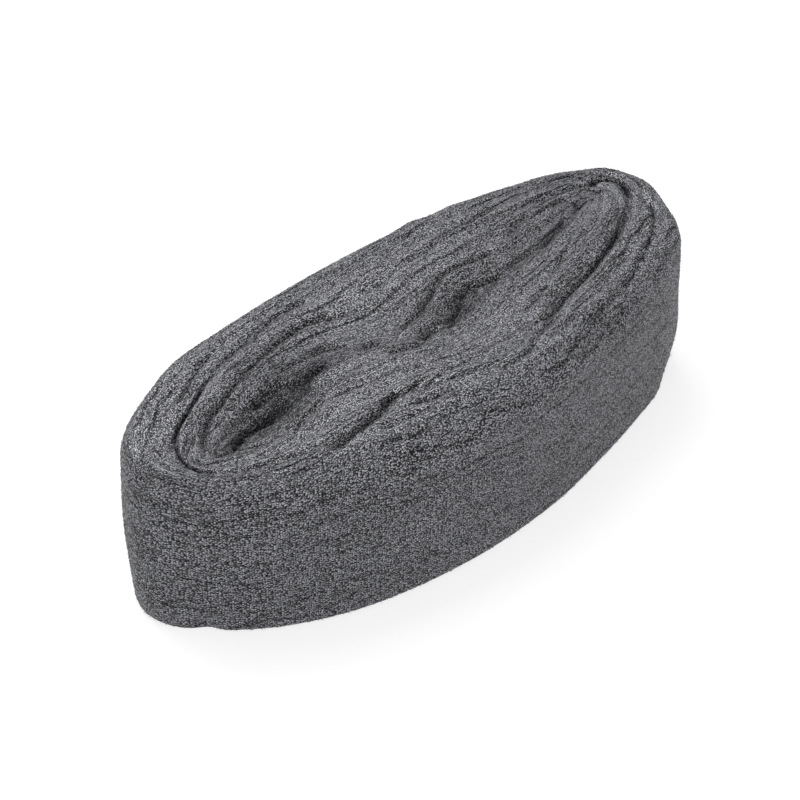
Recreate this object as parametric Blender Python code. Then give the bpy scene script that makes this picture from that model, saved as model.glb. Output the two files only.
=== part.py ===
# Steel wool pad: one long band of steel wool wound flat on itself, standing on the band's edge.
# The roll lies along X, its turns show on the top, and +Z is up.
# The origin is on the floor, under the middle of the roll.

import bmesh
import bpy
import numpy as np

# Sizes of the roll, in metres
ROLL_LENGTH = 0.271
ROLL_WIDTH = 0.117
BAND_WIDTH = 0.0765       # the width of the wool band, which is the roll's height
FAR_RIM_RADIUS = 0.007    # shoulder round the top on the far side
NEAR_RIM_RADIUS = 0.016   # and the softer one on the near side
FOOT_RADIUS = 0.0035      # edge round the underside
WALL_TUCK = 0.0010        # how far the wall draws in above and below its widest height
WIDEST_HEIGHT = 0.032

# The turns of the band
OUTER_TURNS = 3           # between the deep seam and the wall
INNER_TURNS = 4           # between the core slot and the deep seam
TURN_RIPPLE = 0.0008      # height of a turn's crest over the groove beside it
UNDER_GROOVE = 0.0025     # depth of the grooves between the turns underneath
SLOT_WIDTH = 0.0024       # gap left where the core collapsed
SLOT_DEPTH = 0.001        # how far the core slot lies below the turns beside it
SLOT_TIPS = 7             # the slot opens over its first and last seventh
CORE_SINK = 0.003         # how far the innermost turns sit below the outer ones
CREASE_FADE = 8           # a crease deepens over its first and last eighth
CREASE_SHARPNESS = 2      # how steeply a crease falls in towards its line
RIM_SHARE = 0.7           # the shoulder takes at most this share of the outer turns
FOOT_SHARE = 0.5          # and the foot at most this

# A turn's underside, from its outer side in: share of the turn and height over the floor
UNDER_TURN = ((0.45, 0), (0.75, UNDER_GROOVE), (1.05, 0))

# How finely the roll is drawn
HALF_STATIONS = 48        # points along each side of a turn
STATIONS = 2 * HALF_STATIONS
RINGS_PER_TURN = 4
SHOULDER_RINGS = 4
WALL_RINGS = 4
FOOT_RINGS = 2

# The plan shapes. A point is (x, y) in percent of half the roll's length and of half its width.
# Point number n of the outline, the seam and the slot lie on one line across the turns.
OUTLINE = (
    (100, 38), (96, 73), (77, 89), (45, 99), (11, 97), (-22, 88), (-49, 76), (-73, 62),
    (-88, 38), (-97, 14), (-100, -16), (-90, -49), (-71, -78), (-45, -96), (-11, -100),
    (21, -90), (47, -72), (69, -53), (86, -35), (98, -5),
)
SEAM = (
    (91, 45), (84, 65), (66, 74), (40, 74), (10, 73), (-21, 64), (-46, 50), (-64, 32),
    (-77, 11), (-86, -12), (-88, -33), (-83, -50), (-66, -65), (-41, -64), (-13, -55),
    (19, -57), (42, -42), (61, -21), (77, 4), (88, 24),
)
SLOT = (
    (77, 46), (73, 43), (62, 32), (44, 19), (22, 9), (2, -9), (-17, 3), (-36, 7),
    (-54, -11), (-65, -18), (-73, -25),
)

# Creases between the turns: depth, then how far the fold rounds off to the left and to the right
# of the line, all in metres, then the line itself in plan percent.
CREASES = {
    "left_end": (0.005, 0.005, 0.004, (
        (-59, 36), (-65, 29), (-69, 22), (-75, 12), (-80, 4), (-84, -6), (-86, -16), (-87, -26),
        (-86, -38), (-82, -49),
    )),
    "left_end_far": (0.0025, 0.004, 0.004, (
        (-20, 63), (-32, 61), (-43, 51), (-54, 43), (-59, 37),
    )),
    "left_outer": (0.002, 0.004, 0.004, ((-76, 21), (-69, 35), (-65, 41), (-57, 51))),
    "near_left_seam": (0.0008, 0.004, 0.004, (
        (-84, -43), (-78, -52), (-66, -62), (-55, -66), (-46, -67),
    )),
    "far_inner": (0.003, 0.005, 0.005, (
        (-80, -24), (-75, -7), (-66, 8), (-56, 22), (-46, 32), (-35, 41), (-25, 44), (-18, 39),
        (-11, 36),
    )),
    "left_pocket": (0.0035, 0.007, 0.006, (
        (-73, -32), (-66, -19), (-58, -14), (-52, -13), (-48, -8), (-43, -6), (-39, 3), (-33, 8),
        (-29, 3),
    )),
    "left_pocket_second": (0.0025, 0.004, 0.004, (
        (-58, 0), (-54, 2), (-49, 6), (-45, 7), (-41, 3),
    )),
    "left_pocket_far": (0.002, 0.004, 0.004, ((-33, 18), (-28, 18), (-25, 15), (-22, 10))),
    "near_fold": (0.002, 0.004, 0.004, (
        (-60, -50), (-51, -34), (-44, -27), (-38, -18), (-32, -15),
    )),
    "near_left": (0.004, 0.006, 0.005, (
        (-53, -72), (-46, -68), (-40, -65), (-32, -59), (-27, -52), (-23, -51),
    )),
    "near_left_on": (0.002, 0.004, 0.004, ((-26, -53), (-18, -53), (-12, -58), (-4, -61))),
    "near_left_second": (0.002, 0.004, 0.004, ((-36, -73), (-33, -74), (-27, -75), (-21, -77))),
    "middle_far": (0.0015, 0.004, 0.004, ((-19, 5), (-15, 2), (-12, -5))),
    "middle": (0.003, 0.006, 0.005, ((-15, -9), (-9, -13), (-4, -14), (1, -7), (5, -5))),
    "core_far": (0.003, 0.005, 0.005, (
        (-9, -1), (-1, 9), (6, 16), (12, 25), (17, 32), (21, 37), (27, 38), (34, 38), (40, 38),
    )),
    "core_far_on": (0.002, 0.004, 0.004, ((47, 46), (54, 53), (60, 57))),
    "core_arc": (0.002, 0.004, 0.005, ((67, 57), (72, 56), (75, 50), (75, 43))),
    "core_near": (0.003, 0.005, 0.004, (
        (6, -12), (13, 1), (18, 10), (22, 18), (29, 18), (36, 16),
    )),
    "core_near_on": (0.0015, 0.004, 0.004, ((37, 19), (44, 23), (51, 26))),
    "core_near_last": (0.002, 0.004, 0.004, ((53, 24), (59, 31), (64, 36), (70, 44))),
    "right_end": (0.006, 0.004, 0.006, (
        (83, 58), (88, 58), (92, 50), (92, 41), (89, 29), (86, 21), (77, 5), (65, -11),
        (54, -23), (43, -33), (35, -42), (28, -49),
    )),
    "right_slope": (0.003, 0.004, 0.020, (
        (84, 17), (77, 5), (65, -11), (54, -23), (43, -33), (35, -42),
    )),
    "right_end_far": (0.002, 0.004, 0.004, (
        (13, 61), (20, 61), (32, 66), (43, 66), (55, 67), (69, 64), (81, 61), (87, 57),
    )),
    "right_near": (0.002, 0.004, 0.004, ((35, -48), (24, -57), (16, -67), (4, -73))),
    "right_outer": (0.0025, 0.004, 0.004, (
        (92, 14), (89, 2), (84, -11), (76, -25), (65, -41), (54, -52), (43, -60), (36, -65),
    )),
    "right_step": (0.002, 0.003, 0.010, ((43, -68), (47, -66), (51, -65), (55, -68), (58, -73))),
    "right_fold_first": (0.0015, 0.004, 0.004, ((64, 23), (59, 12), (53, 2), (47, -7))),
    "right_fold": (0.002, 0.004, 0.004, ((41, -17), (37, -21), (32, -27), (27, -31))),
}

# Broad hollows where the inner turns have sagged: depth, then the half lengths along and across
# the hollow, in metres, its heading in degrees, and its middle in plan percent.
HOLLOWS = {
    "left_pocket": (0.0055, 0.028, 0.011, 23, (-53, -9)),
    "middle_pocket": (0.004, 0.018, 0.009, 24, (17, 7)),
    "right_core": (0.002, 0.030, 0.010, 17, (51, 32)),
}

# Lumps and dents in the wall: how far out, the half length round the roll, the half height and
# the height of the middle, in metres, and the place on the outline in plan percent.
LUMPS = {
    "left_foot": (0.0012, 0.010, 0.010, 0.010, (-97, -28)),
    "left_foot_dent": (-0.0025, 0.005, 0.008, 0.000, (-90, -47)),
    "right_foot_dent": (-0.0035, 0.014, 0.010, 0.000, (91, -24)),
    "right_bulge": (0.0012, 0.012, 0.012, 0.024, (95, -15)),
}

PLAN_UNIT = np.array([ROLL_LENGTH, ROLL_WIDTH]) / 200
WOOL_COLOUR = (0.115, 0.118, 0.125, 1.0)


def smooth_curve(points, places, closed):
    # Catmull-Rom curve through the points; a place counts points along it.
    points = np.asarray(points, float)
    count = len(points)
    if closed:
        first = np.floor(places).astype(int)
        near = [points[(first + step) % count] for step in (-1, 0, 1, 2)]
    else:
        first = np.clip(np.floor(places).astype(int), 0, count - 2)
        ends = np.vstack([2 * points[0] - points[1], points, 2 * points[-1] - points[-2]])
        near = [ends[first + step + 1] for step in (-1, 0, 1, 2)]
    part = (places - first)[:, None]
    before, start, end, after = near
    return 0.5 * (
        2 * start
        + (end - before) * part
        + (2 * before - 5 * start + 4 * end - after) * part ** 2
        + (3 * start - before - 3 * end + after) * part ** 3
    )


def fill_plan(ring):
    # Stretches a plan curve to run from -1 to 1 along X and along Y, then gives it its size.
    low = ring.min(axis=0)
    high = ring.max(axis=0)
    return (2 * ring - low - high) / (high - low) * PLAN_UNIT * 100


def ring_normals(ring):
    along = np.roll(ring, -1, axis=0) - np.roll(ring, 1, axis=0)
    out = np.stack([along[:, 1], -along[:, 0]], axis=1)
    return out / np.linalg.norm(out, axis=1)[:, None]


def plan_rings():
    # The outline, the deep seam and the core slot, each with a point at every station.
    turn = np.arange(STATIONS) / STATIONS
    outline = fill_plan(smooth_curve(OUTLINE, turn * len(OUTLINE), True))
    seam = smooth_curve(SEAM, turn * len(SEAM), True) * PLAN_UNIT
    # The slot runs out along its far side and back along its near side.
    there_and_back = 1 - np.abs(1 - 2 * turn)
    places = there_and_back * (len(SLOT) - 1)
    middle = smooth_curve(SLOT, places, False)
    ahead = smooth_curve(SLOT, np.minimum(places + 0.1, len(SLOT) - 1), False)
    behind = smooth_curve(SLOT, np.maximum(places - 0.1, 0), False)
    along = (ahead - behind) * PLAN_UNIT
    along /= np.linalg.norm(along, axis=1)[:, None]
    aside = np.stack([along[:, 1], -along[:, 0]], axis=1)
    opening = np.minimum(1, SLOT_TIPS * np.minimum(there_and_back, 1 - there_and_back))
    side = np.where(turn <= 0.5, 1, -1) * opening
    slot = middle * PLAN_UNIT + aside * (side * SLOT_WIDTH / 2)[:, None]
    return outline, seam, slot


def crease_depth(plan, crease):
    # How far a crease lowers each plan point: deepest on the line, rounding off to both sides.
    depth, left_reach, right_reach, points = crease
    places = np.linspace(0, len(points) - 1, 10 * len(points))
    line = smooth_curve(points, places, False) * PLAN_UNIT
    start = line[:-1]
    step = line[1:] - start
    from_start = plan[..., None, :] - start
    share = np.clip((from_start * step).sum(axis=-1) / (step ** 2).sum(axis=-1), 0, 1)
    away = from_start - share[..., None] * step
    distance = np.linalg.norm(away, axis=-1)
    nearest = distance.argmin(axis=-1)[..., None]

    def pick(values):
        return np.take_along_axis(values, nearest, axis=-1)[..., 0]

    side = pick(step[:, 0] * from_start[..., 1] - step[:, 1] * from_start[..., 0])
    reach = np.where(side > 0, left_reach, right_reach)
    along = (nearest[..., 0] + pick(share)) / len(start)
    fade = np.clip(CREASE_FADE * np.minimum(along, 1 - along), 0, 1)
    fade = fade * (2 - fade)
    return depth * fade * np.clip(1 - pick(distance) / reach, 0, 1) ** CREASE_SHARPNESS


def hollow_depth(plan, hollow):
    depth, half_length, half_breadth, heading, middle = hollow
    turn = np.radians(heading)
    offset = plan - np.array(middle) * PLAN_UNIT
    along = offset[..., 0] * np.cos(turn) + offset[..., 1] * np.sin(turn)
    aside = offset[..., 1] * np.cos(turn) - offset[..., 0] * np.sin(turn)
    return depth * np.exp(-(along / half_length) ** 2 - (aside / half_breadth) ** 2)


def top_height(plan, depth_in):
    # Height of the top; depth_in counts 0 at the core slot, 1 at the seam and 2 at the outline.
    height = np.full(plan.shape[:-1], BAND_WIDTH)
    height -= CORE_SINK * np.clip(1 - depth_in, 0, 1)
    for crease in CREASES.values():
        height -= crease_depth(plan, crease)
    for hollow in HOLLOWS.values():
        height -= hollow_depth(plan, hollow)
    turns = np.where(depth_in < 1, INNER_TURNS * depth_in, OUTER_TURNS * (depth_in - 1))
    height -= TURN_RIPPLE * (0.5 + 0.5 * np.cos(2 * np.pi * turns))
    height -= SLOT_DEPTH * np.clip(1 - INNER_TURNS * depth_in, 0, 1) ** 2
    return height


def wall_offset(height, outline):
    # How far the wall stands out from the outline at a height.
    gap = np.maximum(WIDEST_HEIGHT, BAND_WIDTH - WIDEST_HEIGHT)
    offset = -WALL_TUCK * ((height - WIDEST_HEIGHT) / gap) ** 2
    for out, half_length, half_height, middle, place in LUMPS.values():
        along = np.linalg.norm(outline - np.array(place) * PLAN_UNIT, axis=1) / half_length
        up = (height - middle) / half_height
        offset = offset + out * np.exp(-along ** 2 - up ** 2)
    return offset


def across(inner, outer, share):
    # The place at a share of the way from the inner ring to the outer one.
    return inner + (outer - inner) * share


def roll_rings():
    # Every ring of the skin, from the core slot on top, over the rim, down the wall and back
    # under the turns to the core slot underneath.
    outline, seam, slot = plan_rings()
    normals = ring_normals(outline)
    outer_width = np.linalg.norm(outline - seam, axis=1)
    rings = []

    def add(plan, height):
        rings.append(np.column_stack([plan, np.broadcast_to(height, STATIONS)]))

    # Top: the inner turns, then the outer turns as far as the shoulder
    for count in range(INNER_TURNS * RINGS_PER_TURN):
        share = count / (INNER_TURNS * RINGS_PER_TURN)
        plan = across(slot, seam, share)
        add(plan, top_height(plan, np.full(STATIONS, share)))
    nearness = 0.5 - outline[:, 1] / ROLL_WIDTH
    rim_radius = across(FAR_RIM_RADIUS, NEAR_RIM_RADIUS, nearness ** 2)
    shoulder = np.minimum(rim_radius / outer_width, RIM_SHARE)
    wall_top = outline + normals * wall_offset(BAND_WIDTH - rim_radius, outline)[:, None]
    for count in range(OUTER_TURNS * RINGS_PER_TURN):
        share = (1 - shoulder) * count / (OUTER_TURNS * RINGS_PER_TURN)
        plan = across(seam, wall_top, share[:, None])
        add(plan, top_height(plan, 1 + share))

    # Shoulder, from the top round to the wall
    for angle in np.linspace(0, np.pi / 2, SHOULDER_RINGS + 1):
        share = 1 - shoulder * (1 - np.sin(angle))
        plan = across(seam, wall_top, share[:, None])
        add(plan, top_height(plan, 1 + share) - rim_radius * (1 - np.cos(angle)))
    rim = rings[-1][:, 2]

    # Wall
    for share in np.linspace(0, 1, WALL_RINGS + 1)[1:]:
        height = across(rim, FOOT_RADIUS, share)
        add(outline + normals * wall_offset(height, outline)[:, None], height)

    # Foot, round to the underside
    foot = rings[-1][:, :2]
    reach = np.minimum(FOOT_RADIUS / outer_width, FOOT_SHARE)
    for angle in np.linspace(0, np.pi / 2, FOOT_RINGS + 1)[1:]:
        share = 1 - reach * (1 - np.cos(angle))
        add(across(seam, foot, share[:, None]), FOOT_RADIUS * (1 - np.sin(angle)))

    # Underside: flat crests on the floor with a groove between each turn and the next
    for outside, inside, turns, end in (
        (foot, seam, OUTER_TURNS, 1 - reach),
        (seam, slot, INNER_TURNS, np.ones(STATIONS)),
    ):
        for count in range(turns):
            for place, height in UNDER_TURN:
                share = end * (1 - (count + place) / turns)
                if share.min() < 0:
                    continue
                add(across(inside, outside, share[:, None]), height)
    add(slot, UNDER_GROOVE)
    return rings


def roll_mesh():
    # Skins the rings and zips each core slot shut along its middle.
    rings = roll_rings()
    shape = bmesh.new()
    loops = [[shape.verts.new(point) for point in ring] for ring in rings]
    for inner, outer in zip(loops[:-1], loops[1:]):
        for here in range(STATIONS):
            there = (here + 1) % STATIONS
            shape.faces.new((inner[here], outer[here], outer[there], inner[there]))
    for loop in (loops[0], loops[-1]):
        for here in range(HALF_STATIONS):
            corners = (here, here + 1, STATIONS - here - 1, (STATIONS - here) % STATIONS)
            shape.faces.new([loop[number] for number in dict.fromkeys(corners)])
    bmesh.ops.recalc_face_normals(shape, faces=shape.faces)
    mesh = bpy.data.meshes.new("steel_wool_roll")
    shape.to_mesh(mesh)
    shape.free()
    mesh.shade_smooth()
    return mesh


def wool_material():
    material = bpy.data.materials.new("steel_wool")
    material.use_nodes = True
    shader = material.node_tree.nodes["Principled BSDF"]
    shader.inputs["Base Color"].default_value = WOOL_COLOUR
    shader.inputs["Metallic"].default_value = 0.8
    shader.inputs["Roughness"].default_value = 0.55
    return material


def main():
    for thing in list(bpy.data.objects):
        bpy.data.objects.remove(thing)
    parts = bpy.data.collections.new("steel_wool_pad")
    bpy.context.scene.collection.children.link(parts)
    roll = bpy.data.objects.new("steel_wool_roll", roll_mesh())
    roll.data.materials.append(wool_material())
    parts.objects.link(roll)


main()
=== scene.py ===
import math

import bpy
import numpy as np
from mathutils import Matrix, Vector


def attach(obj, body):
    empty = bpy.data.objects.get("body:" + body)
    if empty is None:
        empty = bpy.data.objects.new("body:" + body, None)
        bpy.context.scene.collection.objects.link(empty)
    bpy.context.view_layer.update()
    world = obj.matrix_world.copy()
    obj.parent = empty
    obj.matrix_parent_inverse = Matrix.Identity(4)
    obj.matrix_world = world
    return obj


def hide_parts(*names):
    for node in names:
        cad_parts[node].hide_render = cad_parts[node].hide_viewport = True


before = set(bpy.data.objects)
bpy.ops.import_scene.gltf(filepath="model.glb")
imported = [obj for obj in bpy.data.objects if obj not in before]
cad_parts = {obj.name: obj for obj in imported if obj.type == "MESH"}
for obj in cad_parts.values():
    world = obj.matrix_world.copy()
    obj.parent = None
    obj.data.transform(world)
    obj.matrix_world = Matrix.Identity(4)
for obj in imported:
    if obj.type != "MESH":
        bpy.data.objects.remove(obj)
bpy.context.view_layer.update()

mm = 0.001
scene = bpy.context.scene
scene.view_settings.view_transform = "Standard"

# The roll as the CAD solid has it, but with a narrower and shallower slot in its core. Lengths in
# metres, places in the plan in percent of half the length and of half the width.
roll = {
    "length": 0.271,
    "width": 0.117,
    "height": 0.0765,
    "farRim": 0.007,           # radius of the shoulder on the far side
    "nearRim": 0.016,          # and on the near side
    "rimShare": 0.7,           # most of the outer turns that the shoulder may take up
    "foot": 0.0035,            # radius where the wall meets the floor
    "footShare": 0.5,          # most of the outer turns that it may take up
    "wallTuck": 0.0010,        # how far the wall draws in above and below its widest height
    "widestHeight": 0.032,
    "outerTurns": 3,           # outside the deep seam
    "innerTurns": 4,           # and inside it
    "turnRipple": 0.0008,      # dip between a turn and the next
    "underGroove": 0.0025,     # depth of the grooves between the turns underneath
    "grooveMiddle": 0.75,      # their place in a turn
    "grooveReach": 0.25,       # and half width, both as shares of one turn
    "slotWidth": 0.0006,
    "slotDepth": 0.0004,
    "slotTips": 7,             # the slot opens over its first and last seventh
    "coreSink": 0.003,         # how far the core lies below the rim
    "creaseFade": 8,           # a crease sets in over its first and last eighth
    "outline": (
        (100, 38), (96, 73), (77, 89), (45, 99), (11, 97), (-22, 88), (-49, 76), (-73, 62),
        (-88, 38), (-97, 14), (-100, -16), (-90, -49), (-71, -78), (-45, -96), (-11, -100),
        (21, -90), (47, -72), (69, -53), (86, -35), (98, -5),
    ),
    "seam": (
        (91, 45), (84, 65), (66, 74), (40, 74), (10, 73), (-21, 64), (-46, 50), (-64, 32),
        (-77, 11), (-86, -12), (-88, -33), (-83, -50), (-66, -65), (-41, -64), (-13, -55),
        (19, -57), (42, -42), (61, -21), (77, 4), (88, 24),
    ),
    "slot": (
        (77, 46), (73, 43), (62, 32), (44, 19), (22, 9), (2, -9), (-17, 3), (-36, 7),
        (-54, -11), (-65, -18), (-73, -25),
    ),
}

# Creases between the turns, sharper than the solid's: depth, how far the fold rounds off to the
# left and to the right of the line, in metres, then the line in plan percent.
creases = {
    "leftEnd": (0.0038, 0.0018, 0.0016, (
        (-59, 36), (-65, 29), (-69, 22), (-75, 12), (-80, 4), (-84, -6), (-86, -16), (-87, -26),
        (-86, -38), (-82, -49),
    )),
    "leftEndFar": (0.0015, 0.003, 0.003, ((-20, 63), (-32, 61), (-43, 51), (-54, 43), (-59, 37))),
    "pocketEnd": (0.0018, 0.003, 0.003, ((-67, 9), (-71, 2), (-74, -6), (-77, -14), (-78, -23))),
    "pocketMiddle": (0.002, 0.003, 0.003, ((-63, -13), (-66, -18), (-69, -24), (-74, -33))),
    "leftOuter": (0.002, 0.0025, 0.0025, ((-76, 21), (-69, 35), (-65, 41), (-57, 51))),
    "nearLeftSeam": (0.0008, 0.004, 0.004, (
        (-84, -43), (-78, -52), (-66, -62), (-55, -66), (-46, -67),
    )),
    "farInner": (0.003, 0.004, 0.004, (
        (-80, -24), (-75, -7), (-66, 8), (-56, 22), (-46, 32), (-35, 41), (-25, 44), (-18, 39),
        (-11, 36),
    )),
    "leftPocket": (0.0035, 0.005, 0.0045, (
        (-73, -32), (-66, -19), (-58, -14), (-52, -13), (-48, -8), (-43, -6), (-39, 3), (-33, 8),
        (-29, 3),
    )),
    "leftPocketSecond": (0.0025, 0.003, 0.003, (
        (-58, 0), (-54, 2), (-49, 6), (-45, 7), (-41, 3),
    )),
    "leftPocketFar": (0.002, 0.0035, 0.0035, ((-33, 18), (-28, 18), (-25, 15), (-22, 10))),
    "nearFold": (0.002, 0.003, 0.003, (
        (-60, -50), (-51, -34), (-44, -27), (-38, -18), (-32, -15),
    )),
    "nearLeft": (0.005, 0.0045, 0.004, (
        (-53, -72), (-46, -68), (-40, -65), (-32, -59), (-27, -52), (-23, -51),
    )),
    "nearLeftOn": (0.002, 0.003, 0.003, ((-26, -53), (-18, -53), (-12, -58), (-4, -61))),
    "nearLeftSecond": (0.002, 0.003, 0.003, ((-36, -73), (-33, -74), (-27, -75), (-21, -77))),
    "middleFar": (0.0015, 0.003, 0.003, ((-19, 5), (-15, 2), (-12, -5))),
    "middle": (0.003, 0.005, 0.004, ((-15, -9), (-9, -13), (-4, -14), (1, -7), (5, -5))),
    "coreFar": (0.003, 0.0035, 0.0035, (
        (-9, -1), (-1, 9), (6, 16), (12, 25), (17, 32), (21, 37), (27, 38), (34, 38), (40, 38),
    )),
    "coreFarOn": (0.002, 0.003, 0.003, ((47, 46), (54, 53), (60, 57))),
    "coreArc": (0.002, 0.003, 0.004, ((67, 57), (72, 56), (75, 50), (75, 43))),
    "coreNear": (0.003, 0.004, 0.003, (
        (6, -12), (13, 1), (18, 10), (22, 18), (29, 18), (36, 16),
    )),
    "coreNearOn": (0.0015, 0.003, 0.003, ((37, 19), (44, 23), (51, 26))),
    "coreNearLast": (0.002, 0.003, 0.003, ((53, 24), (59, 31), (64, 36), (70, 44))),
    "rightEnd": (0.005, 0.003, 0.0045, ((83, 58), (88, 58), (92, 50), (92, 41), (89, 29))),
    "rightEndSoft": (0.0015, 0.005, 0.006, ((92, 41), (89, 29), (86, 21), (77, 5), (65, -11))),
    "rightEndNear": (0.003, 0.005, 0.0045, (
        (77, 5), (65, -11), (54, -23), (43, -33), (35, -42), (28, -49),
    )),
    "rightSlope": (0.003, 0.003, 0.020, (
        (84, 17), (77, 5), (65, -11), (54, -23), (43, -33), (35, -42),
    )),
    "rightEndFar": (0.0012, 0.003, 0.003, (
        (13, 61), (20, 61), (32, 66), (43, 66), (55, 67), (69, 64), (81, 61), (87, 57),
    )),
    "rightNear": (0.002, 0.003, 0.003, ((35, -48), (24, -57), (16, -67), (4, -73))),
    "rightOuter": (0.0025, 0.003, 0.003, (
        (92, 14), (89, 2), (84, -11), (76, -25), (65, -41), (54, -52), (43, -60), (36, -65),
    )),
    "rightStep": (0.002, 0.002, 0.010, ((43, -68), (47, -66), (51, -65), (55, -68), (58, -73))),
    "rightFoldFirst": (0.0015, 0.003, 0.003, ((64, 23), (59, 12), (53, 2), (47, -7))),
    "rightFold": (0.002, 0.003, 0.003, ((41, -17), (37, -21), (32, -27), (27, -31))),
}

# Where the inner turns have sagged: depth, half lengths along and across, heading in degrees and
# the middle in plan percent.
hollows = {
    "leftPocket": (0.0055, 0.028, 0.011, 23, (-53, -9)),
    "middlePocket": (0.004, 0.018, 0.009, 24, (17, 7)),
    "rightCore": (0.002, 0.030, 0.010, 17, (51, 32)),
}

# Lumps and dents in the wall and its rim: how far out, half length round the roll, half height and
# middle height in metres, and the place on the outline.
lumps = {
    "leftFoot": (0.0012, 0.010, 0.010, 0.010, (-97, -28)),
    "leftFootDent": (-0.0025, 0.005, 0.008, 0.000, (-90, -47)),
    "rightFootDent": (-0.0035, 0.014, 0.010, 0.000, (91, -24)),
    "rightBulge": (0.0012, 0.012, 0.012, 0.024, (95, -15)),
    "leftBelly": (0.0010, 0.012, 0.022, 0.036, (-97, 10)),
    "farRightRim": (0.0030, 0.010, 0.030, 0.070, (100, 38)),
    "farRightDip": (-0.0030, 0.012, 0.030, 0.070, (90, 74)),
    "rightRimDip": (-0.0018, 0.010, 0.016, 0.068, (100, 0)),
    "leftRimDip": (-0.0022, 0.015, 0.030, 0.070, (-78, 55)),
    "farRimTuft": (0.0018, 0.007, 0.020, 0.070, (27, 99)),
    "farRimTuftNext": (0.0012, 0.006, 0.020, 0.070, (42, 99)),
}

# How finely the body of the roll is drawn, how rough it is, and the painted shade in its creases.
# Fuzz is height, cells round the roll and length of a cell across it.
body = {
    "stations": 300,           # points in a ring
    "innerRings": 92,
    "outerRings": 78,
    "shoulderRings": 16,
    "wallRings": 96,
    "footRings": 5,
    "underRings": 16,
    "fuzz": ((0.012 * mm, 200, 0.9 * mm), (0.0192 * mm, 70, 2.4 * mm)),
    "floorFade": 4 * mm,       # relief dies away this close to the floor
    "creaseSharp": 2.5,        # power by which a crease narrows to its line
    "leastCrease": 0.35,       # share of depth and painted shade left where a crease is faintest
    "darkCrease": 4.5 * mm,    # a crease this deep or more has a black line of painted shade at its bottom
    "lineWidth": 0.5 * mm,
    "lineShade": 0.9,          # how black that painted line is
    "foldShade": 0.45,         # how dark the painted shade of a fold gets by its depth alone,
    "foldDepth": 6 * mm,       # at this depth or more
    "hollowShare": 0.8,        # share of a hollow's depth that counts towards the painted shade
    "layerShare": 0.8,         # share of the layers' painted shade that shows on the body
}

# Thin lines where one layer of wool ends and the next begins, pressed in and darkened with painted
# shade: spacing, width, depth, cells of their wandering round the roll, and the share of them that
# shows
layers = {
    "broad": (5.0 * mm, 0.50 * mm, 0.35 * mm, 24, 0.40),
    "middle": (2.6 * mm, 0.35 * mm, 0.18 * mm, 36, 0.36),
    "fine": (1.5 * mm, 0.28 * mm, 0.08 * mm, 48, 0.25),
}

# Short pleats along the turns, strewn by chance: how many, their length as a share of the way
# round, how far they slant across it, their depth, their half width, and between which distances
# from the slot they lie
pleats = {
    "top": (90, (0.02, 0.07), 1.6 * mm, (0.3 * mm, 0.9 * mm), 0.8 * mm, (2 * mm, 52 * mm)),
    "wall": (60, (0.02, 0.09), 1.2 * mm, (0.1 * mm, 0.3 * mm), 0.6 * mm, (52 * mm, 115 * mm)),
}

# How the layers' lines and the pleats show, and their painted shade
lines = {
    "wallShare": 0.5,          # share of the layers' strength that is left low on the wall
    "wallTop": 45 * mm,        # from this height on they grow stronger,
    "rise": 25 * mm,           # and over this much of it reach full strength
    "shade": 0.25,             # painted shade of the shallowest line
    "depthShade": 0.35,        # and how much darker one of full depth
    "fullDepth": 0.4 * mm,
    "stretch": 4 * mm,         # cell of the noise that lets a line come and go
    "apart": 7.3 * mm,         # step in that noise from a line to the next
    "stretchEnd": 3,           # how sharply a stretch of a line ends
    "wander": (5, 3),          # size of the wandering in spacings, broad and fine
    "wanderShare": 0.25,       # share of the fine one
    "pleatShade": 0.75,        # painted shade of a pleat 1 mm deep
    "pleatReach": 4,           # a pleat ends this many half widths from its middle
    "pleatRound": 1.5,         # power of its profile
    "pleatLine": 0.5,          # width of its painted dark line in half widths
}

noiseRows = 400                # more rows than any noise here has across the skin

planUnit = np.array([roll["length"], roll["width"]]) / 200


def smoothCurve(points, places, closed):
    # Catmull-Rom curve through the points; a place counts points along it
    points = np.asarray(points, float)
    count = len(points)
    if closed:
        first = np.floor(places).astype(int)
        near = [points[(first + step) % count] for step in (-1, 0, 1, 2)]
    else:
        first = np.clip(np.floor(places).astype(int), 0, count - 2)
        ends = np.vstack([2 * points[0] - points[1], points, 2 * points[-1] - points[-2]])
        near = [ends[first + step + 1] for step in (-1, 0, 1, 2)]
    part = (places - first)[:, None]
    before, start, end, after = near
    return 0.5 * (
        2 * start
        + (end - before) * part
        + (2 * before - 5 * start + 4 * end - after) * part ** 2
        + (3 * start - before - 3 * end + after) * part ** 3
    )


def planRings(stations):
    # The outline, the deep seam and the core slot, each with a point at every station
    turn = np.arange(stations) / stations
    outline = smoothCurve(roll["outline"], turn * len(roll["outline"]), True)
    low, high = outline.min(axis=0), outline.max(axis=0)
    outline = (2 * outline - low - high) / (high - low) * planUnit * 100
    seam = smoothCurve(roll["seam"], turn * len(roll["seam"]), True) * planUnit
    last = len(roll["slot"]) - 1
    thereAndBack = 1 - np.abs(1 - 2 * turn)
    places = thereAndBack * last
    middle = smoothCurve(roll["slot"], places, False)
    ahead = smoothCurve(roll["slot"], np.minimum(places + 0.1, last), False)
    behind = smoothCurve(roll["slot"], np.maximum(places - 0.1, 0), False)
    along = (ahead - behind) * planUnit
    along /= np.linalg.norm(along, axis=1)[:, None]
    aside = np.stack([along[:, 1], -along[:, 0]], axis=1)
    opening = np.minimum(1, roll["slotTips"] * np.minimum(thereAndBack, 1 - thereAndBack))
    side = np.where(turn <= 0.5, 1, -1) * opening
    slot = middle * planUnit + aside * (side * roll["slotWidth"] / 2)[:, None]
    return outline, seam, slot


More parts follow.
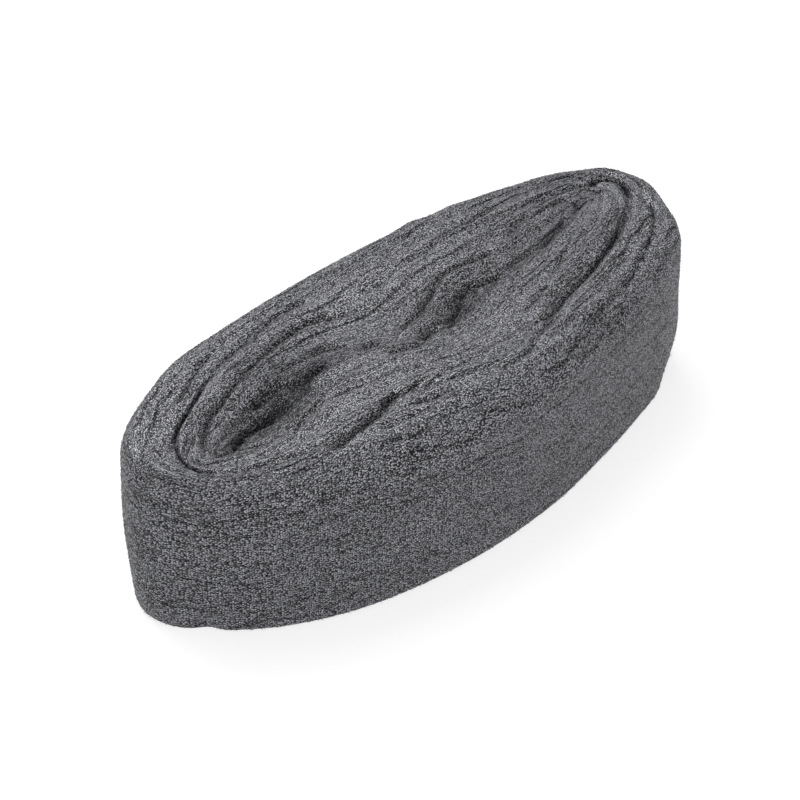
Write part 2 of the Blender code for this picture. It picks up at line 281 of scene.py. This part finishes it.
def creaseAt(plan, crease, number):
    # How far a crease lowers each plan point, and how dark the painted shade of its bottom line is
    # there. Only the points near it are worked out.
    depth, leftReach, rightReach, points = crease
    places = np.linspace(0, len(points) - 1, 8 * len(points))
    line = smoothCurve(points, places, False) * planUnit
    flat = plan.reshape(-1, 2)
    widest = max(leftReach, rightReach)
    inside = np.all((flat > line.min(0) - widest) & (flat < line.max(0) + widest), axis=1)
    start = line[:-1]
    step = line[1:] - start
    fromStart = flat[inside][:, None, :] - start
    share = np.clip((fromStart * step).sum(axis=-1) / (step ** 2).sum(axis=-1), 0, 1)
    distance = np.linalg.norm(fromStart - share[..., None] * step, axis=-1)
    nearest = distance.argmin(axis=-1)[:, None]

    def pick(values):
        return np.take_along_axis(values, nearest, axis=-1)[:, 0]

    side = pick(step[:, 0] * fromStart[..., 1] - step[:, 1] * fromStart[..., 0])
    reach = np.where(side > 0, leftReach, rightReach)
    along = (nearest[:, 0] + pick(share)) / len(start)
    fade = np.clip(roll["creaseFade"] * np.minimum(along, 1 - along), 0, 1)
    fade = fade * (2 - fade)
    away = pick(distance)
    knots = np.random.default_rng(number).uniform(body["leastCrease"], 1, 2 * len(points))
    uneven = np.interp(along, np.linspace(0, 1, len(knots)), knots)
    profile = np.clip(1 - away / reach, 0, 1) ** body["creaseSharp"]
    lowered, dark = np.zeros(len(flat)), np.zeros(len(flat))
    lowered[inside] = depth * (0.5 + 0.5 * uneven) * fade * profile
    # Painted shade: a dark line along the crease's bottom, darker for a deeper crease
    strength = min(1, depth / body["darkCrease"]) * uneven * fade
    dark[inside] = strength * np.exp(-(away / body["lineWidth"]) ** 2)
    return lowered.reshape(plan.shape[:-1]), dark.reshape(plan.shape[:-1])


def creaseFold(plan):
    # All the creases together: how far they lower each plan point, and the painted shade of their
    # lines
    lowered, dark = np.zeros(plan.shape[:-1]), np.zeros(plan.shape[:-1])
    for number, crease in enumerate(creases.values()):
        depth, shade = creaseAt(plan, crease, number)
        lowered += depth
        dark = np.maximum(dark, shade)
    return lowered, dark


def hollowDepth(plan, hollow):
    # How far a hollow lowers each plan point
    depth, halfLength, halfBreadth, heading, middle = hollow
    turn = math.radians(heading)
    offset = plan - np.array(middle) * planUnit
    along = offset[..., 0] * math.cos(turn) + offset[..., 1] * math.sin(turn)
    aside = offset[..., 1] * math.cos(turn) - offset[..., 0] * math.sin(turn)
    return depth * np.exp(-(along / halfLength) ** 2 - (aside / halfBreadth) ** 2)


def topHeight(plan, depthIn):
    # Height of the top and the painted shade of its creases, slot and hollows; depthIn is 0 at the
    # slot, 1 at the seam and 2 at the wall
    height = np.full(plan.shape[:-1], roll["height"])
    height -= roll["coreSink"] * np.clip(1 - depthIn, 0, 1)
    crease, dark = creaseFold(plan)
    hollow = sum(hollowDepth(plan, one) for one in hollows.values())
    turns = np.where(depthIn < 1, roll["innerTurns"] * depthIn, roll["outerTurns"] * (depthIn - 1))
    ripple = roll["turnRipple"] * (0.5 + 0.5 * np.cos(2 * np.pi * turns))
    slot = roll["slotDepth"] * np.clip(1 - roll["innerTurns"] * depthIn, 0, 1) ** 2
    # Painted shade: darker the deeper the creases, slot and hollows lower a point, and black along
    # a crease's line
    sunk = (crease + slot + body["hollowShare"] * hollow) / body["foldDepth"]
    shade = np.maximum(body["foldShade"] * np.clip(sunk, 0, 1), body["lineShade"] * dark)
    return height - crease - hollow - ripple - slot, shade


def wallOffset(height, outline):
    # How far the wall stands out from the outline at a height
    gap = max(roll["widestHeight"], roll["height"] - roll["widestHeight"])
    offset = -roll["wallTuck"] * ((height - roll["widestHeight"]) / gap) ** 2
    for out, halfLength, halfHeight, middle, place in lumps.values():
        along = np.linalg.norm(outline - np.array(place) * planUnit, axis=-1) / halfLength
        up = (height - middle) / halfHeight
        offset = offset + out * np.exp(-along ** 2 - up ** 2)
    return offset


def ringNoise(turn, across, cellsRound, cellAcross, seed):
    # Smooth noise from -1 to 1 that closes on itself round the roll
    cells = np.random.default_rng(seed).uniform(-1, 1, (cellsRound, noiseRows))
    u = turn * cellsRound
    v = np.abs(across) / cellAcross
    column, row = np.floor(u).astype(int), np.floor(v).astype(int)
    du, dv = u - column, v - row
    du, dv = du * du * (3 - 2 * du), dv * dv * (3 - 2 * dv)

    def cell(right, up):
        return cells[(column + right) % cellsRound, (row + up) % noiseRows]

    low = cell(0, 0) * (1 - du) + cell(1, 0) * du
    high = cell(0, 1) * (1 - du) + cell(1, 1) * du
    return low * (1 - dv) + high * dv


def rollSkin():
    # Every ring of the skin as one grid of points, from the slot on top over the rim, down the
    # wall and back under the turns, and the painted shade of the creases at each point
    count = body["stations"]
    outline, seam, slot = planRings(count)
    along = np.roll(outline, -1, axis=0) - np.roll(outline, 1, axis=0)
    normals = np.stack([along[:, 1], -along[:, 0]], axis=1)
    normals /= np.linalg.norm(normals, axis=1)[:, None]
    outerWidth = np.linalg.norm(outline - seam, axis=1)
    nearness = 0.5 - outline[:, 1] / roll["width"]
    rim = roll["farRim"] + (roll["nearRim"] - roll["farRim"]) * nearness ** 2
    shoulder = np.minimum(rim / outerWidth, roll["rimShare"])

    # Top, inner turns, then outer turns
    share = np.arange(body["innerRings"])[:, None] / body["innerRings"]
    innerPlan = slot + (seam - slot) * share[..., None]
    innerDepth = np.broadcast_to(share, (body["innerRings"], count))
    share = np.arange(body["outerRings"])[:, None] / body["outerRings"] * (1 - shoulder)
    wallTop = outline + normals * wallOffset(roll["height"] - rim, outline)[:, None]
    outerPlan = seam + (wallTop - seam) * share[..., None]
    outerDepth = 1 + share
    # Shoulder
    angle = np.linspace(0, math.pi / 2, body["shoulderRings"] + 1)[:, None]
    share = 1 - shoulder * (1 - np.sin(angle))
    rimPlan = seam + (wallTop - seam) * share[..., None]
    plan = np.concatenate([innerPlan, outerPlan, rimPlan])
    height, crease = topHeight(plan, np.concatenate([innerDepth, outerDepth, 1 + share]))
    height[-len(angle):] -= rim * (1 - np.cos(angle))
    # Wall
    share = np.linspace(0, 1, body["wallRings"] + 1)[1:, None]
    wallHeight = height[-1] + (roll["foot"] - height[-1]) * share
    wallPlan = outline + normals * wallOffset(wallHeight, outline)[..., None]
    foot = wallPlan[-1]
    # Foot and underside
    reach = np.minimum(roll["foot"] / outerWidth, roll["footShare"])
    angle = np.linspace(0, math.pi / 2, body["footRings"] + 1)[1:, None]
    footPlan = seam + (foot - seam) * (1 - reach * (1 - np.cos(angle)))[..., None]
    footHeight = np.broadcast_to(roll["foot"] * (1 - np.sin(angle)), (len(angle), count))
    share = np.arange(1, body["underRings"] + 1)[:, None] / body["underRings"]
    underOuter = seam + (foot - seam) * ((1 - reach) * (1 - share))[..., None]
    underInner = slot + (seam - slot) * (1 - share)[..., None]
    turns = np.concatenate([share * roll["outerTurns"], share * roll["innerTurns"]])
    away = np.abs(turns % 1 - roll["grooveMiddle"]) / roll["grooveReach"]
    groove = roll["underGroove"] * np.clip(1 - away, 0, 1)
    underHeight = np.broadcast_to(groove, (len(turns), count))
    plan = np.concatenate([plan, wallPlan, footPlan, underOuter, underInner])
    height = np.concatenate([height, wallHeight, footHeight, underHeight])
    crease = np.concatenate([crease, np.zeros((len(height) - len(crease), count))])
    return np.dstack([plan, height]), crease


def gridNormals(grid):
    # Outward normal at every point of the grid
    around = np.roll(grid, -1, axis=1) - np.roll(grid, 1, axis=1)
    down = np.gradient(grid, axis=0)
    normal = np.cross(down, around)
    size = np.linalg.norm(normal, axis=-1, keepdims=True)
    return normal / np.maximum(size, 1e-12)


def layerLines(turn, across, height):
    # The painted shade of the lines between the layers, and how deep they are, at a place round and
    # across
    onTop = np.clip((height - lines["wallTop"]) / lines["rise"], 0, 1)
    strength = lines["wallShare"] + (1 - lines["wallShare"]) * onTop
    shade = np.zeros(np.broadcast(turn, across).shape)
    depth = np.zeros(shade.shape)
    broad, fine = lines["wander"]
    for number, (spacing, width, deep, cells, shown) in enumerate(layers.values()):
        seed = 100 + 10 * number
        warp = ringNoise(turn, across, cells, broad * spacing, seed)
        fineWarp = ringNoise(turn, across, 3 * cells, fine * spacing, seed + 1)
        warp = warp + lines["wanderShare"] * fineWarp
        phase = across / spacing + 0.5 * warp
        distance = np.abs(phase - np.round(phase)) * spacing
        # Each stretch of a line comes and goes
        mask = ringNoise(turn, np.round(phase) * lines["apart"], cells, lines["stretch"], seed + 2)
        mask = np.clip((mask - 1 + 2 * shown) * lines["stretchEnd"], 0, 1)
        line = np.exp(-(distance / width) ** 2) * mask * strength
        darkest = lines["shade"] + lines["depthShade"] * deep / lines["fullDepth"]
        shade = np.maximum(shade, line * darkest)
        depth = np.maximum(depth, line * deep)
    return shade, depth


def pleatLines(turn, across):
    # The painted shade of the pleats, and how deep they are, at a place round and across
    shade = np.zeros(np.broadcast(turn, across).shape)
    depth = np.zeros(shade.shape)
    for seed, (count, lengths, slant, depths, width, band) in enumerate(pleats.values()):
        draw = np.random.default_rng(300 + seed)
        for n in range(count):
            middle, length = draw.random(), draw.uniform(*lengths)
            place, drift = draw.uniform(*band), draw.normal(0, slant, 2)
            deep = draw.uniform(*depths)
            along = ((turn - middle + 0.5) % 1 - 0.5) / length * 2
            course = place + drift[0] * along + drift[1] * (1 - along ** 2)
            away = np.abs(across - course) / width
            near = (np.abs(along) < 1) & (away < lines["pleatReach"])
            along, away = along[near], away[near]
            profile = (1 - along ** 2) * np.exp(-away ** lines["pleatRound"])
            depth[near] = np.maximum(depth[near], deep * profile)
            dark = (1 - along ** 2) * np.exp(-(away / lines["pleatLine"]) ** 2)
            shade[near] = np.maximum(shade[near], lines["pleatShade"] * min(1, deep / mm) * dark)
    return shade, depth


def layered(grid):
    # Presses the layers' lines and the pleats into the skin, roughens it, and gives their painted
    # shade
    rings, count = grid.shape[:2]
    turn = np.broadcast_to(np.arange(count) / count, (rings, count))
    steps = np.linalg.norm(np.diff(grid, axis=0, prepend=grid[:1]), axis=-1)
    across = np.cumsum(steps, axis=0)
    # Half of the distance is evened out round the roll, so that lines follow the turns
    across = 0.5 * across + 0.5 * across.mean(axis=1, keepdims=True)
    shade, push = layerLines(turn, across, grid[..., 2])
    pleatShade, pleatDepth = pleatLines(turn, across)
    shade = np.maximum(shade, pleatShade)
    push = -np.maximum(push, pleatDepth)
    for seed, (height, cellsRound, cellAcross) in enumerate(body["fuzz"], 50):
        push += height * ringNoise(turn, across, cellsRound, cellAcross, seed)
    # The underside stays flat on the floor
    under = np.clip(grid[..., 2] / body["floorFade"], 0, 1)
    return grid + gridNormals(grid) * (push * under)[..., None], shade, across


print("Drawing the roll")
# crease and groove hold painted shade: of the creases, slot and hollows, and of the layers' lines
# and pleats
plain, crease = rollSkin()
grid, groove, across = layered(plain)
normals = gridNormals(grid)


def addAttribute(mesh, name, values):
    # A value for every point of the mesh, for its material
    layer = mesh.attributes.new(name, "FLOAT", "POINT")
    layer.data.foreach_set("value", np.ascontiguousarray(values, np.float32).ravel())


def bodyMesh(grid):
    # The rings as quads, with the slot closed on top and underneath
    rings, count = grid.shape[:2]
    ring = np.arange(rings - 1)[:, None] * count
    here = np.arange(count)[None, :]
    there = (here + 1) % count
    faces = np.stack([ring + here, ring + count + here, ring + count + there, ring + there], -1)
    faces = faces.reshape(-1, 4).tolist()
    half = count // 2
    for start in (0, (rings - 1) * count):
        for n in range(half):
            corners = [n, n + 1, count - n - 1, (count - n) % count]
            corners = [start + c for c in dict.fromkeys(corners)]
            faces.append(corners if start == 0 else corners[::-1])
    mesh = bpy.data.meshes.new("wool_body")
    mesh.from_pydata(grid.reshape(-1, 3).tolist(), [], faces)
    mesh.shade_smooth()
    return mesh


def linear(hexColour):
    # sRGB hex to the linear colour that Blender wants
    parts = [int(hexColour[n:n + 2], 16) / 255 for n in (1, 3, 5)]
    return [c / 12.92 if c <= 0.04045 else ((c + 0.055) / 1.055) ** 2.4 for c in parts] + [1]


def addNode(tree, kind, settings=None, links=None):
    # Adds a node; settings are its properties or input values, links its inputs' sources
    node = tree.nodes.new(kind)
    for name, value in (settings or {}).items():
        if isinstance(name, str) and hasattr(node, name):
            setattr(node, name, value)
        else:
            node.inputs[name].default_value = value
    for name, source in (links or {}).items():
        tree.links.new(source, node.inputs[name])
    return node


def newMaterial(name):
    material = bpy.data.materials.new(name)
    material.use_nodes = True
    return material, material.node_tree, material.node_tree.nodes["Principled BSDF"]


# Fine carbon steel wool, shaved from wire and felted into a band. Seen from a step away it is a
# dull dark grey with the streaks of its fibres along the band. Its fine cells run from a painted
# shadow colour to a painted glint: partly the fibres' own grain, partly painted glints and painted
# shade between the fibres.
# The black between the layers and in the creases is painted shade.
wool = {
    "shadow": "#040405",
    "glint": "#cecfd6",
    "grainLength": 0.84,       # millimetres along the band, where real fibres are too fine to show
    "grainWidth": 0.53,        # and across it
    "tuft": (0.56, 0.14),      # how far from a cell's middle it is black and how near it is bright
    "level": (0.15, 0.85),     # cells differ by chance, and are evenly dull or bright past these
    "darkestLevel": 0.15,
    "patch": (22, 5),          # millimetres of the stretches with coarser and with finer wool
    "patchEdge": (0.35, 0.65),
    "calmest": 0.9,            # contrast left in the finest of it
    "calmLevel": 0.3,          # level that it nears
    "bump": 0.4,
    "bumpHeight": 0.15 * mm,
    "roughness": 0.58,
    "metallic": 0.6,           # the rest is the dark between the fibres, which mirrors nothing
}


def woolBodyMaterial():
    material, tree, shader = newMaterial("steel_wool")
    place = addNode(tree, "ShaderNodeUVMap", {"uv_map": "winding"})
    # The painted shade of the creases, hollows, layers' lines and pleats, kept in the body's crease
    # attribute
    depth = addNode(tree, "ShaderNodeAttribute", {"attribute_name": "crease"})
    fine = addNode(
        tree, "ShaderNodeMapping", {"Scale": (1 / wool["grainLength"], 1 / wool["grainWidth"], 1)},
        {"Vector": place.outputs[0]},
    )
    cells = addNode(
        tree, "ShaderNodeTexVoronoi", {"Scale": 1.0, "voronoi_dimensions": "2D"},
        {"Vector": fine.outputs[0]},
    )
    grain = addNode(tree, "ShaderNodeSeparateColor", None, {"Color": cells.outputs["Color"]})
    tuft = addNode(
        tree, "ShaderNodeMapRange", {"From Min": wool["tuft"][0], "From Max": wool["tuft"][1]},
        {"Value": cells.outputs["Distance"]},
    )
    level = addNode(
        tree, "ShaderNodeMapRange",
        {
            "From Min": wool["level"][0], "From Max": wool["level"][1],
            "To Min": wool["darkestLevel"],
        },
        {"Value": grain.outputs[0]},
    )
    spread = addNode(
        tree, "ShaderNodeMath", {"operation": "MULTIPLY"},
        {0: tuft.outputs[0], 1: level.outputs[0]},
    )
    stretch = addNode(
        tree, "ShaderNodeMapping", {"Scale": (1 / wool["patch"][0], 1 / wool["patch"][1], 1)},
        {"Vector": place.outputs[0]},
    )
    patch = addNode(
        tree, "ShaderNodeTexNoise", {"noise_dimensions": "2D", "Scale": 1.0, "Detail": 2.0},
        {"Vector": stretch.outputs[0]},
    )
    contrast = addNode(
        tree, "ShaderNodeMapRange",
        {
            "From Min": wool["patchEdge"][0], "From Max": wool["patchEdge"][1],
            "To Min": wool["calmest"],
        },
        {"Value": patch.outputs["Fac"]},
    )
    even = addNode(
        tree, "ShaderNodeMix", {"A": wool["calmLevel"]},
        {"Factor": contrast.outputs[0], "B": spread.outputs[0]},
    )
    # Painted shade: the wool goes down towards its shadow colour where that attribute is dark
    dark = addNode(
        tree, "ShaderNodeMath", {"operation": "SUBTRACT", "use_clamp": True},
        {0: even.outputs[0], 1: depth.outputs["Fac"]},
    )
    colour = addNode(
        tree, "ShaderNodeMix",
        {"data_type": "RGBA", 6: linear(wool["shadow"]), 7: linear(wool["glint"])},
        {"Factor": dark.outputs[0]},
    )
    bump = addNode(
        tree, "ShaderNodeBump", {"Strength": wool["bump"], "Distance": wool["bumpHeight"]},
        {"Height": spread.outputs[0]},
    )
    tree.links.new(colour.outputs[2], shader.inputs["Base Color"])
    tree.links.new(bump.outputs[0], shader.inputs["Normal"])
    shader.inputs["Metallic"].default_value = wool["metallic"]
    shader.inputs["Roughness"].default_value = wool["roughness"]
    return material


def addUv(mesh, name, grid, across):
    # Millimetres along the winding and across it, so a pattern can be sized in millimetres. The
    # inner rings shrink to the slot, so the mean length of the others counts.
    layer = mesh.uv_layers.new(name=name)
    count = grid.shape[1]
    length = np.linalg.norm(np.roll(grid, -1, axis=1) - grid, axis=-1)
    length = length[body["innerRings"]:].mean(axis=0)
    run = np.concatenate([[0], length.cumsum()[:-1]])
    index = np.zeros(len(mesh.loops), np.int32)
    mesh.loops.foreach_get("vertex_index", index)
    u = (run / mm)[index % count]
    v = (across / mm).ravel()[index]
    # The last station's faces run on past the first, so the pattern doesn't fold back
    total = length.sum() / mm
    faceOf = np.repeat(np.arange(len(mesh.polygons)), [p.loop_total for p in mesh.polygons])
    low = np.full(len(mesh.polygons), 1e9)
    np.minimum.at(low, faceOf, index % count)
    high = np.full(len(mesh.polygons), -1.0)
    np.maximum.at(high, faceOf, index % count)
    wraps = (high - low > count / 2)[faceOf] & (index % count == 0)
    u = np.where(wraps & (faceOf < (grid.shape[0] - 1) * count), total, u)
    layer.data.foreach_set("uv", np.column_stack([u, v]).astype(np.float32).ravel())


print("Building the body")
bodyObject = bpy.data.objects.new("wool_body", bodyMesh(grid))
scene.collection.objects.link(bodyObject)
# Painted shade of the creases, hollows, layers' lines and pleats, for the material
addAttribute(bodyObject.data, "crease", np.maximum(crease, body["layerShare"] * groove))
addUv(bodyObject.data, "winding", grid, across)
bodyObject.data.materials.append(woolBodyMaterial())
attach(bodyObject, "root")
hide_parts("steel_wool_roll")

# The fibres that lie on the roll, each a thin spindle with a kink in its middle
fibres = {
    "count": 33000,            # in each piece, 6 triangles a fibre
    "length": (0.5 * mm, 2.0 * mm),
    "shortness": 4,            # power of the chance, so that most are short
    "width": 0.20 * mm,        # drawn many times as coarse as the real ones, so that they show
    "widths": (0.6, 1.3),      # share of that width, from the thinnest to the thickest
    "lift": 0.16 * mm,         # spread of how high their middles stand; the ends are half as high
    "sunk": 0.05 * mm,         # all lie lower by this, so that the flattest dip into the body
    "strayShare": 0.12,        # fibres that stand clear of the body, coloured bright as a painted highlight
    "strayLift": 3,            # as many times as high as the others
    "turnAside": 17,           # degrees off the winding
    "bow": 0.06 * mm,
    "leastSteps": (0.15 * mm, 0.1 * mm),    # shortest that the grid's steps count as
    "lowest": 0.3 * mm,        # they stay above the floor
    "highest": 80.5 * mm,      # and below this height
    "shadedFibreShare": 0.45,         # fibres coloured near black, a painted shade of the fibres over them
    # Shine of those fibres, a painted shade
    "shadedFibre": 0.02,
    "shine": (0.2, 0.7),       # least of the others, and what chance adds
    # Shine of the strays, a painted highlight
    "strayShine": 0.8,
    "lineShare": 0.85,         # share of the layers' painted shade that shows on the fibres
    "shadow": "#0a0a0b",
    "glint": "#d6d8dc",
    "roughness": 0.5,
}


def skinAt(u, v):
    # A place and its normal on the skin, u stations round and v rings across
    rings, count = grid.shape[:2]
    v = np.clip(v, 0, rings - 1.001)
    column, row = np.floor(u).astype(int), np.floor(v).astype(int)
    du, dv = (u - column)[..., None], (v - row)[..., None]
    left, right = column % count, (column + 1) % count

    def blend(values):
        return (
            (values[row, left] * (1 - du) + values[row, right] * du) * (1 - dv)
            + (values[row + 1, left] * (1 - du) + values[row + 1, right] * du) * dv
        )

    return blend(grid), blend(normals)


stationStep = np.linalg.norm(np.roll(grid, -1, axis=1) - grid, axis=-1)
ringStep = np.linalg.norm(np.diff(grid, axis=0, append=grid[-1:]), axis=-1)
cellArea = stationStep * ringStep


def scatter(firstRing, lastRing, count, seed):
    # Places spread evenly over the skin between two rings
    draw = np.random.default_rng(seed)
    weights = cellArea[firstRing:lastRing].ravel()
    picked = draw.choice(len(weights), count, p=weights / weights.sum())
    row, column = np.divmod(picked, grid.shape[1])
    return column + draw.random(count), row + firstRing + draw.random(count)


def spindleMesh(name, points):
    # Six triangles from end to end over the three corners in each fibre's middle
    count = len(points)
    pattern = []
    for n in range(3):
        m = (n + 1) % 3
        pattern += [(0, 1 + m, 1 + n), (1 + n, 1 + m, 4)]
    faces = (np.arange(count)[:, None, None] * 5 + np.array(pattern)).reshape(-1, 3)
    mesh = bpy.data.meshes.new(name)
    mesh.vertices.add(count * 5)
    mesh.vertices.foreach_set("co", points.astype(np.float32).ravel())
    mesh.loops.add(len(faces) * 3)
    mesh.loops.foreach_set("vertex_index", faces.astype(np.int32).ravel())
    mesh.polygons.add(len(faces))
    mesh.polygons.foreach_set("loop_start", np.arange(len(faces), dtype=np.int32) * 3)
    mesh.update(calc_edges=True)
    mesh.validate()
    return mesh


def fibrePiece(name, firstRing, lastRing, seed, material):
    # The fibres between two rings as one mesh, each with painted shade where it lies in a crease
    draw = np.random.default_rng(seed + 1000)
    count = fibres["count"]
    u, v = scatter(firstRing, lastRing, count, seed)
    ui, vi = u.astype(int) % grid.shape[1], v.astype(int)
    leastStation, leastRing = fibres["leastSteps"]
    perStation = np.maximum(stationStep[vi, ui], leastStation)
    perRing = np.maximum(ringStep[vi, ui], leastRing)
    shortest, longest = fibres["length"]
    length = shortest + (longest - shortest) * draw.random(count) ** fibres["shortness"]
    angle = np.radians(draw.normal(0, fibres["turnAside"], count))
    steps = np.array([-0.5, 0, 0.5])
    run = length[:, None] * steps
    bow = draw.normal(0, fibres["bow"], (count, 3))
    alongSkin = run * np.cos(angle)[:, None]
    acrossSkin = run * np.sin(angle)[:, None] + bow
    point, normal = skinAt(
        u[:, None] + alongSkin / perStation[:, None], v[:, None] + acrossSkin / perRing[:, None],
    )
    stray = draw.random(count) < fibres["strayShare"]
    height = np.abs(draw.normal(0, fibres["lift"], count)) * np.where(stray, fibres["strayLift"], 1)
    lift = height[:, None] * (1 - 2 * steps ** 2) - fibres["sunk"]
    point = point + normal * lift[..., None]
    point[..., 2] = np.clip(point[..., 2], fibres["lowest"], fibres["highest"])
    ahead = point[:, 2] - point[:, 0]
    ahead /= np.linalg.norm(ahead, axis=1)[:, None] + 1e-12
    sideways = np.cross(ahead, normal[:, 1])
    sideways /= np.linalg.norm(sideways, axis=1)[:, None] + 1e-12
    up = np.cross(sideways, ahead)
    radius = fibres["width"] / 2 * draw.uniform(*fibres["widths"], count)
    spin = draw.uniform(0, 2 * math.pi, count)
    corners = []
    for third in range(3):
        turn = spin + third * 2 * math.pi / 3
        reach = radius[:, None] * (np.cos(turn)[:, None] * sideways + np.sin(turn)[:, None] * up)
        corners.append(point[:, 1] + reach)
    mesh = spindleMesh(name, np.stack([point[:, 0], *corners, point[:, 2]], axis=1))
    # How dark each fibre is: a random shine, painted shade for those among others and in creases,
    # lines and pleats, and a painted highlight for the strays
    turn = (u / grid.shape[1]) % 1
    row = np.clip(v, 0, grid.shape[0] - 1.001)
    low = row.astype(int)
    place = across[low, ui] * (1 - row + low) + across[low + 1, ui] * (row - low)
    line = np.maximum(layerLines(turn, place, point[:, 1, 2])[0], pleatLines(turn, place)[0])
    least, added = fibres["shine"]
    shadedFibre = draw.random(count) < fibres["shadedFibreShare"]
    shine = np.where(shadedFibre, fibres["shadedFibre"], least + added * draw.random(count) ** 2)
    shine = np.where(stray, fibres["strayShine"], shine)
    fold = creaseFold(point[:, 1, :2])[1] * (point[:, 1, 2] > roll["height"] / 2)
    shade = np.maximum(np.maximum(crease[vi, ui], fold), fibres["lineShare"] * line)
    addAttribute(mesh, "shine", np.repeat(shine * np.clip(1 - shade, 0, 1), 5))
    piece = bpy.data.objects.new(name, mesh)
    scene.collection.objects.link(piece)
    mesh.materials.append(material)
    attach(piece, "root")


def fibreMaterial():
    # The same steel, bare, as single fibres: near black in the shade of others, and a bright point
    # where one catches the light
    material, tree, shader = newMaterial("steel_wool_fibre")
    shine = addNode(tree, "ShaderNodeAttribute", {"attribute_name": "shine"})
    colour = addNode(
        tree, "ShaderNodeMix",
        {"data_type": "RGBA", 6: linear(fibres["shadow"]), 7: linear(fibres["glint"])},
        {"Factor": shine.outputs["Fac"]},
    )
    tree.links.new(colour.outputs[2], shader.inputs["Base Color"])
    shader.inputs["Metallic"].default_value = 1.0
    shader.inputs["Roughness"].default_value = fibres["roughness"]
    return material


print("Laying the fibres")
fibreSteel = fibreMaterial()
overlap, rimOverlap = 4, 6     # rings that neighbouring pieces share, so that no gap shows
firstOuter = body["innerRings"]
firstWall = firstOuter + body["outerRings"] + overlap
lastWall = firstWall + body["shoulderRings"] + body["wallRings"]
fibrePiece("wool_fibres_inner", 0, firstOuter, 1, fibreSteel)
fibrePiece("wool_fibres_outer", firstOuter - overlap, firstWall + rimOverlap, 2, fibreSteel)
fibrePiece("wool_fibres_wall_a", firstWall, lastWall, 3, fibreSteel)
fibrePiece("wool_fibres_wall_b", firstWall, lastWall, 4, fibreSteel)

print("Setting the studio")
studio = {
    "azimuth": -36,
    "elevation": 40,
    "distance": 0.8765,
    "lens": 99,
    "aim": (-0.0082, 0.0023, 0.038),
    "floor": "#b4b4b4",        # grey enough to keep the shadow
    "floorGlow": 0.7,          # and lit up to white where the camera sees it
    "floorRoughness": 0.9,
    "floorHalfSide": 2.0,
    "worldLight": 0.36,        # what falls on the roll from all round
    "lampAim": (0, 0, 0.04),
    "overhead": ((0.0, 0.45, 0.85), 0.8, 7.6),    # place, side in metres and watts
    "front": ((-0.45, -0.75, 0.55), 0.6, 3.2),
}


def seenDirectly(tree):
    # 1 for rays that see the background itself, straight on, in metal or through glass
    path = addNode(tree, "ShaderNodeLightPath")
    first = addNode(
        tree, "ShaderNodeMath", {"operation": "ADD"},
        {0: path.outputs["Is Camera Ray"], 1: path.outputs["Is Glossy Ray"]},
    )
    both = addNode(
        tree, "ShaderNodeMath", {"operation": "ADD", "use_clamp": True},
        {0: first.outputs[0], 1: path.outputs["Is Transmission Ray"]},
    )
    return both.outputs[0]


def plainFloor():
    # White paper, matt and without gloss
    mesh = bpy.data.meshes.new("studio_floor")
    side = studio["floorHalfSide"]
    corners = [(-side, -side, 0), (side, -side, 0), (side, side, 0), (-side, side, 0)]
    mesh.from_pydata(corners, [], [(0, 1, 2, 3)])
    floor = bpy.data.objects.new("studio_floor", mesh)
    scene.collection.objects.link(floor)
    material, tree, shader = newMaterial("white_paper")
    shader.inputs["Base Color"].default_value = linear(studio["floor"])
    shader.inputs["Roughness"].default_value = studio["floorRoughness"]
    shader.inputs["Specular IOR Level"].default_value = 0.0
    shader.inputs["Emission Color"].default_value = (1, 1, 1, 1)
    glow = addNode(
        tree, "ShaderNodeMath", {"operation": "MULTIPLY", 1: studio["floorGlow"]},
        {0: seenDirectly(tree)},
    )
    tree.links.new(glow.outputs[0], shader.inputs["Emission Strength"])
    mesh.materials.append(material)


plainFloor()

azimuth, elevation = math.radians(studio["azimuth"]), math.radians(studio["elevation"])
back = Vector((
    math.sin(azimuth) * math.cos(elevation),
    -math.cos(azimuth) * math.cos(elevation),
    math.sin(elevation),
))
camera = bpy.data.objects.new("camera", bpy.data.cameras.new("camera"))
camera.data.lens = studio["lens"]
camera.data.sensor_width = 36
camera.location = Vector(studio["aim"]) + back * studio["distance"]
camera.rotation_euler = back.to_track_quat("Z", "Y").to_euler()
scene.collection.objects.link(camera)
scene.camera = camera


def softLamp(name, place, side, watts):
    lamp = bpy.data.lights.new(name, "AREA")
    lamp.shape = "SQUARE"
    lamp.size = side
    lamp.energy = watts
    holder = bpy.data.objects.new(name, lamp)
    holder.location = place
    away = Vector(place) - Vector(studio["lampAim"])
    holder.rotation_euler = away.to_track_quat("Z", "Y").to_euler()
    scene.collection.objects.link(holder)


softLamp("overhead_box", *studio["overhead"])
softLamp("front_box", *studio["front"])

world = bpy.data.worlds.new("white_studio")
scene.world = world
world.use_nodes = True
tree = world.node_tree
background = tree.nodes["Background"]
background.inputs["Color"].default_value = (1, 1, 1, 1)
strength = addNode(
    tree, "ShaderNodeMapRange", {"To Min": studio["worldLight"], "To Max": 1.0},
    {"Value": seenDirectly(tree)},
)
tree.links.new(strength.outputs[0], background.inputs["Strength"])
